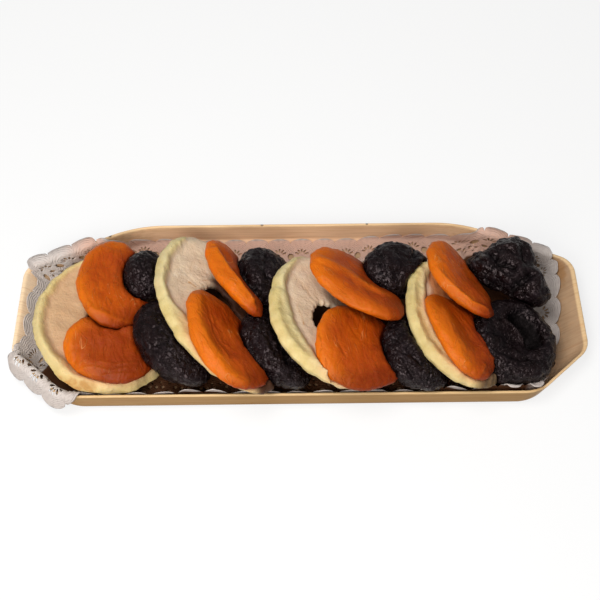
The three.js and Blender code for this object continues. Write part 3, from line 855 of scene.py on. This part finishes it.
def hump(distance, half_width):
    return np.exp(-(distance / half_width) ** 2)


# Distance of each point, seen flat, from a path.
def away_from(own, path):
    flat = own[:, :2]
    nearest = np.full(len(flat), 1e6)
    for start, end in zip(path, path[1:]):
        start, end = np.array(start), np.array(end)
        way = end - start
        share = np.clip((flat - start) @ way / (way @ way), 0, 1)
        nearest = np.minimum(nearest, lengths_of(flat - start - share[:, None] * way))
    return nearest


# How far the listed folds lift the upper side of a piece.
def folds_at(own, folds):
    upper = smooth_step(own[:, 2], -1.5, 1)
    rise = np.zeros(len(own))
    for path, half_width, height in folds:
        rise += height * hump(away_from(own, path), half_width)
    return rise * upper


# A piece's points, moved out of its skin by one height and up from its flat side by another.
def raised(piece, name, points, outward, upward):
    return points + normals_of(piece) * outward[:, None] + upward[:, None] * turn_of(name)[:, 2]


def finish_fruit(piece, name, material, marks):
    for mark, values in marks.items():
        set_attribute(piece, mark, values)
    piece.data.materials.clear()
    piece.data.materials.append(material)
    piece.data.shade_smooth()
    piece.name = name + "_skin"
    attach(piece, "filling")
    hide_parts(name)


# A prune: soft lumps and large folds, under fine rounded wrinkles.
def prune_piece(name, seed, material):
    piece, points, own = rounded_skin(name, 0.85, 6)
    crumpled = 1.0 if name == "prune_7" else 0.0
    coarse = ridges_at(own * (1, 0.75, 1), 8 - 2 * crumpled, seed)
    middle = ridges_at(own * (1, 0.8, 1), 3.2, seed + 10)
    fine = noise_at(own, 1.5, seed + 20)
    wrinkles = ridges_at(own * (1, 0.7, 1), 1.9, seed + 30)
    lump = noise_at(own, 11, seed + 40)
    folds = folds_at(own, fruit_folds.get(name, []))
    rise = (0.6 + 0.8 * crumpled) * lump + (0.6 + 0.6 * crumpled) * (coarse - 0.55)
    rise += 0.46 * (middle - 0.5) + 0.04 * fine + 0.24 * (wrinkles - 0.5)
    # A painted sheen on the wrinkles' ridges, where the skin faces the light
    facing_light = smooth_step(normals_of(piece) @ (-0.33, -0.33, 0.88), 0.45, 0.95)
    painted_sheen = facing_light * smooth_step(0.55 * wrinkles + 0.45 * middle, 0.5, 0.8)
    painted_sheen *= smooth_step(noise_at(own, 5, seed + 50), -0.5, 0.6)
    set_points(piece, raised(piece, name, points, rise, folds))
    # Marks for the skin's colour: its ridges, the painted shade in its folds and its painted sheen
    finish_fruit(piece, name, material, {
        "ridge": np.clip(0.5 * coarse + 0.35 * middle + 0.15 + 0.2 * folds, 0, 1),
        "fold_shade": smooth_step(-folds, 0.6, 3),
        "painted_sheen": painted_sheen,
    })
    return piece


# An apricot half: a smooth waxy skin over soft lumps, with its own folds.
def apricot_piece(name, seed, material):
    piece, points, own = rounded_skin(name, 1.0, 8)
    lump = noise_at(own, 10, seed)
    soft = noise_at(own * (1, 0.6, 1), 4, seed + 11)
    folds = folds_at(own, fruit_folds.get(name, []))
    streaks = ridges_at(own * (1, 0.45, 1), 2.8, seed + 21)
    rise = 0.5 * lump + 0.2 * soft + 0.2 * (streaks - 0.5)
    set_points(piece, raised(piece, name, points, rise, folds))
    low, high = own.min(axis=0), own.max(axis=0)
    flat = (own - (low + high) / 2)[:, :2]
    half_length, half_width = (high - low)[:2] / 2
    level = lengths_of(flat / (half_length, half_width))
    # Painted light on the edge toward the light, and painted shade on the side away from it, at the
    # near end and all over some pieces
    toward_light = flat @ (-0.9, 0.35) / np.maximum(level, 0.1) / half_length
    lit = smooth_step(level, 0.5, 1.05) * smooth_step(toward_light, -0.45, 0.35)
    side = smooth_step(level, 0.35, 1.05) * smooth_step(-toward_light, 0.1, 0.9)
    near_end = smooth_step(-flat[:, 1] / half_width, 0.4, 1)
    side += dark_ends.get(name, usual_dark_end) * near_end
    side += dark_all_over.get(name, 0) * (1 - lit)
    finish_fruit(piece, name, material, {
        "edge": np.clip(lit + 0.5 * np.maximum(folds, 0), 0, 1),
        "side": np.clip(side, 0, 1.2),
        "own": own,
    })
    return piece


# Distance from each point of a piece to the nearest of some others, as far as stains and painted
# shade reach.
def distance_to(piece, others):
    tree = tree_of(others)
    near = np.full(len(piece.data.vertices), float(stain_reach))
    for i, vertex in enumerate(piece.data.vertices):
        away = tree.find_nearest(vertex.co, stain_reach * mm)[3]
        if away is not None:
            near[i] = away / mm
    return near


# The marks on an apple ring other than its skin: streaks, painted shade, painted light, juice and
# torn spots.
def apple_marks(name, seed, own, round_it, reach, rim, near):
    tanned, hidden, light = apple_tones[name][:3]
    right, near_side = own[:, 0], -own[:, 1]
    beside_core = smooth_step(right, 0, 4) * smooth_step(near_side, -20, -15)
    tail = smooth_step(near_side, 22, 27) * smooth_step(right, -6, -1)
    lit_through = smooth_step(right, -9, -5) * smooth_step(-near_side, 11, 16) * (1 - rim)
    streak_place = np.column_stack([round_it[:, :2] * 9, reach * 2])
    return {
        "streak": noise_at(streak_place, 1, seed + 20),
        "shaded": hidden * np.clip(beside_core + tail, 0, 1),
        "tanned": np.full(len(own), tanned),
        "glow": light * lit_through,
        "bleed": np.exp(-near / 2.0),
        "torn": np.clip(folds_at(own, torn_marks.get(name, [])), 0, 1),
    }


# An apple ring: a thick wavy skin, sunken flesh and a ragged core hole.
def apple_piece(name, seed, material, stained_by):
    piece, points, own = rounded_skin(name, 1.0, 4)
    shape = own[:, :2] / np.maximum(own.max(axis=0), -own.min(axis=0))[:2]
    reach = lengths_of(shape)
    angle = np.mod(np.degrees(np.arctan2(shape[:, 1], shape[:, 0])), 360)
    round_it = at_height(shape / np.maximum(reach, 0.01)[:, None], 0)
    waves = noise_at(round_it * 4, 1, seed)
    small_waves = noise_at(round_it * 9, 1, seed + 3)
    skin_starts = value_along(apple_skin_ends[name], angle) + 0.03 * waves + 0.02 * small_waves
    rim = smooth_step(reach, skin_starts - 0.03, skin_starts + 0.04)
    # The crest of the skin stands up, and also carries a painted highlight
    crest = hump(reach - skin_starts - 0.09, 0.07)
    groove = hump(reach - skin_starts + 0.05, 0.05)
    lump = noise_at(own, 6, seed + 9)
    pits = noise_at(own, 2, seed + 12)
    edge = smooth_step(reach, 0.9, 1.0)
    rise = 0.45 * lump + 0.12 * pits + 0.3 * rim * small_waves + 0.7 * edge * waves
    sunken = (1 - rim) * smooth_step(reach, 0.2, 0.5)
    lift = smooth_step(own[:, 2], -0.5, 1) * (0.9 * crest - 0.5 * groove - 0.5 * sunken)
    points = raised(piece, name, points, rise, lift)
    core = lengths_of(own[:, :2])
    ragged = noise_at(round_it * 1.8, 1, seed + 15) + 0.6 * noise_at(round_it * 5, 1, seed + 16)
    out = at_height(own[:, :2] / np.maximum(core, 1)[:, None], 0)
    out *= 1.6 * (ragged * hump(core - core_radius, 3.5))[:, None]
    shift = at_height(hump(core, 16)[:, None] * core_shifts.get(name, (0, 0)), 0)
    points = points + (out + shift) @ turn_of(name).T
    near_left = np.exp(-np.sum((own[:, :2] - (-20, -28)) ** 2, axis=1) / 60)
    points = points + apple_tones[name][3] * near_left[:, None] * np.array((-0.6, -0.7, 0.4))
    set_points(piece, points)
    near = distance_to(piece, stained_by)
    marks = apple_marks(name, seed, own, round_it, reach, rim, near)
    finish_fruit(piece, name, material, {"crest": crest, "rim": rim, **marks})
    return piece


# The outline of an oval opening in the lace.
def oval(middle_x, middle_y, half_width, half_height, tilt=0.0, steps=14):
    points = []
    for step in range(steps):
        angle = 2 * math.pi * step / steps
        across = half_width * math.cos(angle)
        up = half_height * math.sin(angle)
        x = middle_x + across * math.cos(tilt) - up * math.sin(tilt)
        y = middle_y + across * math.sin(tilt) + up * math.cos(tilt)
        points.append((x, y))
    return points


# The openings inside one fan: petals round its middle, and smaller holes further in.
def fan_openings(pitch):
    openings = []
    for angle in (math.radians(degrees) for degrees in (-66, -33, 0, 33, 66)):
        x = pitch / 2 + petal_reach * math.sin(angle)
        y = fan_centre - petal_reach * math.cos(angle)
        openings.append(oval(x, y, 0.45, 1.15, tilt=angle, steps=12))
    openings.append(oval(pitch / 2, fan_centre + 3.1, 1.3, 0.9))
    for share in (0.25, 0.75):
        openings.append(oval(pitch * share, fan_centre + 5.6, 0.75, 0.75, steps=10))
    for share in (0.17, 0.5, 0.83):
        openings.append(oval(pitch * share, fan_centre + 7.9, 0.5, 0.5, steps=8))
    return openings


def inside_outline(point, outline):
    inside = False
    for i, (x, y) in enumerate(outline):
        last_x, last_y = outline[i - 1]
        if (y > point[1]) != (last_y > point[1]):
            if point[0] < x + (point[1] - y) * (last_x - x) / (last_y - y):
                inside = not inside
    return inside


# How far in the scalloped edge lies. One fan is half a turn long.
def scallop_dip(turn):
    return scallop_depth * (1 - math.sqrt(abs(math.sin(turn))))


# The points and edges that a flat mesh has to keep.
class Drawing:
    def __init__(self):
        self.points = []
        self.edges = []

    def add(self, run, closed=False):
        first = len(self.points)
        self.points += run
        last = len(run) if closed else len(run) - 1
        self.edges += [(first + i, first + (i + 1) % len(run)) for i in range(last)]


# Draws one straight side of a fan, with its half of the openings shared with the next fan.
def draw_side(drawing, side, bulge_sign):
    arcs = []
    start = scallop_depth
    for shift, half_width, half_height in side_openings:
        middle = fan_centre + shift
        stop = middle - half_height
        count = max(1, round((stop - start) / 0.7))
        drawing.add([(side, start + (stop - start) * step / count) for step in range(count + 1)])
        bulge = bulge_sign * half_width
        turns = [math.pi * step / 10 for step in range(11)]
        arc = [(side + bulge * math.sin(a), middle - half_height * math.cos(a)) for a in turns]
        drawing.add(arc)
        arcs.append(arc)
        start = middle + half_height
    drawing.add([(side, start + (lace_band - start) * step / 5) for step in range(6)])
    return arcs


# Points inside a fan: rows of fine triangles in its patterned part, and coarse ones further in.
def inner_points(pitch):
    columns = int(pitch / fine_step)
    points = []
    for row in range(1, int(fine_reach / fine_step)):
        for column in range(1, columns):
            points.append((pitch * (column + 0.5 * (row % 2)) / columns, row * fine_step))
    for row in range(1, 7):
        for column in range(1, 9):
            points.append((pitch * column / 9, fine_reach + (lace_band - fine_reach) * row / 7))
    return points


# One flat fan of the lace: its width along, and its reach in from the scalloped edge.
def fan_mesh(pitch):
    drawing = Drawing()
    steps = 18
    edge_run = []
    for step in range(steps + 1):
        edge_run.append((pitch * step / steps, scallop_dip(math.pi * step / steps)))
    drawing.add(edge_run)
    drawing.add([(pitch * step / 9, lace_band) for step in range(10)])
    cut_out = draw_side(drawing, 0, 1) + draw_side(drawing, pitch, -1)
    for opening in fan_openings(pitch):
        drawing.add(opening, closed=True)
        cut_out.append(opening)
    drawing.points += inner_points(pitch)
    vectors = [Vector(point) for point in drawing.points]
    flat, _, faces, _, _, _ = delaunay_2d_cdt(vectors, drawing.edges, [], 0, 0.001)
    kept = []
    for face in faces:
        middle = sum((flat[i] for i in face), Vector((0, 0))) / 3
        cut = any(inside_outline(middle, outline) for outline in cut_out)
        if middle.y > scallop_dip(math.pi * middle.x / pitch) and not cut:
            kept.append(tuple(face))
    return [(point.x, point.y, 0) for point in flat], kept


# Geometry Nodes that lay the fans side by side in one strip.
def fan_strip_nodes(material):
    group = bpy.data.node_groups.new("lace strip", "GeometryNodeTree")
    group.interface.new_socket("Geometry", in_out="INPUT", socket_type="NodeSocketGeometry")
    count = group.interface.new_socket("Fan count", in_out="INPUT", socket_type="NodeSocketInt")
    pitch = group.interface.new_socket("Fan pitch", in_out="INPUT", socket_type="NodeSocketFloat")
    group.interface.new_socket("Geometry", in_out="OUTPUT", socket_type="NodeSocketGeometry")
    nodes = Nodes(group)
    given = nodes.add("NodeGroupInput").outputs
    step = nodes.add("ShaderNodeCombineXYZ", {"X": given["Fan pitch"]}).outputs[0]
    line = nodes.add("GeometryNodeMeshLine", {"Count": given["Fan count"], "Offset": step}).outputs[0]
    inputs = {"Points": line, "Instance": given["Geometry"]}
    fans = nodes.add("GeometryNodeInstanceOnPoints", inputs).outputs[0]
    real = nodes.add("GeometryNodeRealizeInstances", {"Geometry": fans}).outputs[0]
    inputs = {"Geometry": real, "Distance": 0.02 * mm}
    joined = nodes.add("GeometryNodeMergeByDistance", inputs).outputs[0]
    inputs = {"Geometry": joined, "Material": material}
    painted = nodes.add("GeometryNodeSetMaterial", inputs).outputs[0]
    nodes.add("NodeGroupOutput", {"Geometry": painted})
    return group, count.identifier, pitch.identifier


# The path that the lace follows from the floor, up the wall and over the rim, at a share of
# the way round and a distance from the wall's foot.
class LacePath:
    def __init__(self, shares):
        base = stations.at(shares, stations.base)
        rim = stations.at(shares, stations.rim)
        self.out = unit(stations.at(shares, stations.out))
        flare = ((rim - base) * self.out).sum(axis=1)
        level = np.hypot(1, flare / tray_height)
        low = veneer_thickness + lace_lift
        high = tray_height + lace_lift
        inside = self.out * (-low * level)[:, None]
        self.foot = at_height(base + (rim - base) * low / tray_height + inside, low)
        self.head = at_height(base + (rim - base) * high / tray_height + inside, high)
        self.over = at_height(rim + self.out * lace_lift, high)
        self.wall_length = lengths_of(self.head - self.foot)
        self.top_length = lengths_of(self.over - self.head)
        spine = np.zeros_like(self.foot)
        spine[:, 0] = np.clip(self.foot[:, 0], -spine_half_length, spine_half_length)
        spine[:, 2] = low
        self.inward = unit(spine - self.foot)
        spread = value_along(lace_spread, shares)
        self.beyond = np.column_stack([self.out * spread[:, None], -np.sqrt(1 - spread ** 2)])

    # How far the lace's edge is from the wall's foot.
    def edge_reach(self, edge):
        on_wall = self.wall_length * np.minimum(edge, 1)
        past_top = overhang_step * np.maximum(edge - 1, 0)
        return np.where(edge < 0, edge * overhang_step, on_wall + past_top)

    def plain(self, reach):
        past_wall = reach - self.wall_length
        past_rim = past_wall - self.top_length
        on_floor = self.foot + self.inward * np.maximum(-reach, 0)[:, None]
        up = np.clip(reach / self.wall_length, 0, 1)[:, None]
        over = np.clip(past_wall / self.top_length, 0, 1)[:, None]
        points = np.where(reach[:, None] < 0, on_floor, self.foot + (self.head - self.foot) * up)
        points = points + (self.over - self.head) * over
        return points + self.beyond * np.maximum(past_rim, 0)[:, None]

    # The same path with its bends rounded.
    def at(self, reach):
        bend = np.where(reach < self.wall_length * 0.5, foot_bend, rim_bend)
        shifts = (-1, -0.5, 0, 0.5, 1)
        return sum(self.plain(reach + bend * shift) for shift in shifts) / len(shifts)

    # The way out of the paper, away from the wall.
    def normal(self, reach):
        rising = self.at(reach + 0.2) - self.at(reach - 0.2)
        along = np.column_stack([-self.out[:, 1], self.out[:, 0]])
        return unit(np.cross(rising, at_height(along, 0)))


# One search tree over several pieces.
def tree_of(pieces):
    points = []
    faces = []
    for piece in pieces:
        first = len(points)
        points += [vertex.co for vertex in piece.data.vertices]
        faces += [tuple(first + i for i in face.vertices) for face in piece.data.polygons]
    return bvhtree.BVHTree.FromPolygons(points, faces)


# How far the paper stands off its path: more toward its edge, in waves and small crumples.
def lace_rise(shares, inward, height_share):
    angle = 2 * math.pi * shares
    radius = stations.around / (2 * math.pi)
    ring = np.column_stack([np.cos(angle) * radius, np.sin(angle) * radius, inward])
    wave = 0.5 + 0.5 * noise_at(ring, 7, 60)
    crumple = 0.5 + 0.5 * noise_at(ring, 3, 61)
    stand = value_along(lace_stand, shares) * height_share ** 1.5
    return 0.12 + stand + (0.15 + 0.6 * height_share) * wave + 0.25 * crumple


# Keeps the paper's rise clear of the fruit, and says how dark their shade on it is.
def keep_clear(rise, placed, normal, fruit):
    tree = tree_of(fruit)
    shade = np.zeros(len(rise))
    for i in range(len(rise)):
        start = Vector(placed[i]) * mm
        away = tree.ray_cast(start, Vector(normal[i]), lace_room * mm)[3]
        if away is not None:
            rise[i] = min(rise[i], max(0, away / mm - lace_gap))
        near = tree.find_nearest(start, stain_reach * mm)[3]
        if near is not None:
            shade[i] = 0.6 * math.exp(-max(0, near / mm - 0.5) / 1.5)
    return shade


# Painted shade on the paper: between the fruit, and in all of its flat middle under them.
def painted_shade_at(placed, inward):
    x, y = placed[:, 0], placed[:, 1]
    middle = smooth_step(inward, 20, 22)
    between = smooth_step(103 - x, 0, 8) * smooth_step(x + 88, 0, 10)
    between *= np.maximum(smooth_step(30 - y, 0, 6), middle)
    return 1.6 * np.maximum(between * smooth_step(inward, 1, 1.8), middle)


# Where the back wall's paper is warm with the light that comes off the fruit.
def warmed_at(placed, inward):
    behind = smooth_step(placed[:, 1], 26, 33) * smooth_step(112 - np.abs(placed[:, 0]), 0, 16)
    return behind * smooth_step(inward, 0.4, 1.6)


# The paper lace: one strip of fans, laid along the floor's edge, up the walls and over the rim.
def lace_piece(fruit):
    pitch = stations.around / scallop_count
    material = lace_material(pitch)
    piece = new_piece("paper_lace", *fan_mesh(pitch), material)
    strip = piece.modifiers.new("strip", "NODES")
    strip.node_group, count_input, pitch_input = fan_strip_nodes(material)
    strip[count_input] = scallop_count
    strip[pitch_input] = pitch * mm
    apply_modifiers(piece)
    along, inward = points_of(piece)[:, :2].T
    shares = np.mod(along / stations.around, 1)
    path = LacePath(shares)
    reach = path.edge_reach(value_along(lace_edge, shares)) - inward
    placed = path.at(reach)
    normal = path.normal(reach)
    rise = lace_rise(shares, inward, np.clip(reach / path.wall_length, 0, 1))
    shade = keep_clear(rise, placed, normal, fruit)
    set_points(piece, placed + normal * rise[:, None])
    # Painted shade near, between and under the fruit, and painted warm light on the back
    set_attribute(piece, "painted_shade", np.maximum(shade, painted_shade_at(placed, inward)))
    set_attribute(piece, "warmed", warmed_at(placed, inward))
    turn = 2 * math.pi * (along / pitch - 0.5)
    set_attribute(piece, "fan", np.column_stack([np.cos(turn), np.sin(turn), inward]))
    close_lace(piece)
    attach(piece, "filling")
    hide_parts("lace_liner")


# Joins the lace's two ends, fills its flat middle and gives it the thickness of paper.
def close_lace(piece):
    sheet = bmesh.new()
    sheet.from_mesh(piece.data)
    fan = sheet.verts.layers.float_vector["fan"]
    bmesh.ops.remove_doubles(sheet, verts=sheet.verts, dist=0.03 * mm)
    inner = []
    for edge in sheet.edges:
        if edge.is_boundary and min(end[fan].z for end in edge.verts) > lace_band - 0.01:
            inner.append(edge)
    bmesh.ops.contextual_create(sheet, geom=inner)
    bmesh.ops.recalc_face_normals(sheet, faces=sheet.faces)
    if sum(face.normal.z * face.calc_area() for face in sheet.faces) < 0:
        bmesh.ops.reverse_faces(sheet, faces=sheet.faces)
    sheet.to_mesh(piece.data)
    sheet.free()
    thick = piece.modifiers.new("paper", "SOLIDIFY")
    thick.thickness = lace_thickness * mm
    thick.offset = 0
    apply_modifiers(piece)
    piece.data.shade_smooth()


# All the fruit. Apricots get painted shade near their neighbours, and apple rings juice stains
# from the apricots on them.
def fruit_pieces():
    prune_skin, apricot_skin, apple_flesh = prune_material(), apricot_material(), apple_material()
    apricots = {}
    made = []
    for seed, (name, place) in enumerate(fruit_places.items()):
        if place[0] == "prune":
            made.append(prune_piece(name, seed, prune_skin))
        if place[0] == "apricot":
            apricots[name] = apricot_piece(name, seed, apricot_skin)
    for apricot in apricots.values():
        others = made + [other for other in apricots.values() if other != apricot]
        set_attribute(apricot, "contact_shade", np.exp(-distance_to(apricot, others) / 3.6))
    for number in range(1, 5):
        over = [apricots[f"apricot_{2 * number - side}"] for side in (0, 1)]
        made.append(apple_piece(f"apple_ring_{number}", number, apple_flesh, over))
    return made + list(apricots.values())


def camera():
    away = Vector((0, -math.cos(camera_elevation), math.sin(camera_elevation))) * camera_distance
    lens = bpy.data.cameras.new("camera")
    lens.sensor_width = 36
    lens.lens = camera_lens
    lens.clip_start = 1 * mm
    seen_by = new_object("camera", lens)
    seen_by.location = (camera_target + away) * mm
    turned = (-away).to_track_quat("-Z", "Y") @ Quaternion((0, 0, 1), -camera_roll)
    seen_by.rotation_euler = turned.to_euler()
    bpy.context.scene.camera = seen_by


# A round soft lamp, aimed at the middle of the tray's underside.
def lamp(name, place, watts, colour):
    light = bpy.data.lights.new(name, "AREA")
    light.shape = "DISK"
    light.size = 320 * mm
    light.energy = watts
    light.color = colour
    stand = new_object(name, light)
    stand.location = Vector(place) * mm
    stand.rotation_euler = (-Vector(place)).to_track_quat("-Z", "Y").to_euler()


# A pale floor that glows toward the camera, so that it looks white and still takes soft shadows.
def floor_material():
    look = Look("pale floor", Roughness=0.9, Specular_IOR_Level=0.1)
    rays = look.add("ShaderNodeLightPath").outputs
    tone = look.noise(look.place(), 0.01)
    pale = look.mix(tone, (0.90, 0.90, 0.90), (0.93, 0.93, 0.93))
    colour = look.mix(rays["Is Diffuse Ray"], pale, (0.4, 0.4, 0.4))
    look.tree.links.new(colour, look.surface.inputs["Base Color"])
    glow = look.add("ShaderNodeEmission", {"Strength": 1.0}).outputs[0]
    seen = look.times(rays["Is Camera Ray"], 0.75)
    mixed = look.add("ShaderNodeMixShader", {0: seen, 1: look.surface.outputs[0], 2: glow})
    output = look.tree.nodes["Material Output"]
    look.tree.links.new(mixed.outputs[0], output.inputs["Surface"])
    return look.material


def stage():
    half = 4000
    level = -0.2
    corners = [(x * half, y * half, level) for x, y in ((-1, -1), (1, -1), (1, 1), (-1, 1))]
    floor = new_piece("floor", corners, [(0, 1, 2, 3)], floor_material(), smooth=False)
    world = bpy.data.worlds.new("soft white")
    world.use_nodes = True
    bpy.context.scene.world = world
    nodes = Nodes(world.node_tree)
    sky = world.node_tree.nodes["Background"]
    rays = nodes.add("ShaderNodeLightPath").outputs
    strength = nodes.maths("MAXIMUM", rays["Is Camera Ray"], 0.26)
    world.node_tree.links.new(strength, sky.inputs["Strength"])
    sky.inputs["Color"].default_value = (1, 1, 1, 1)
    lamp("high", (-150, -80, 620), 2, (1, 0.985, 0.96))
    lamp("front", (-180, -430, 380), 2.4, (1, 0.98, 0.95))
    bpy.context.scene.view_settings.view_transform = "Standard"


camera()
stage()
tray_shell()
lace_piece(fruit_pieces())
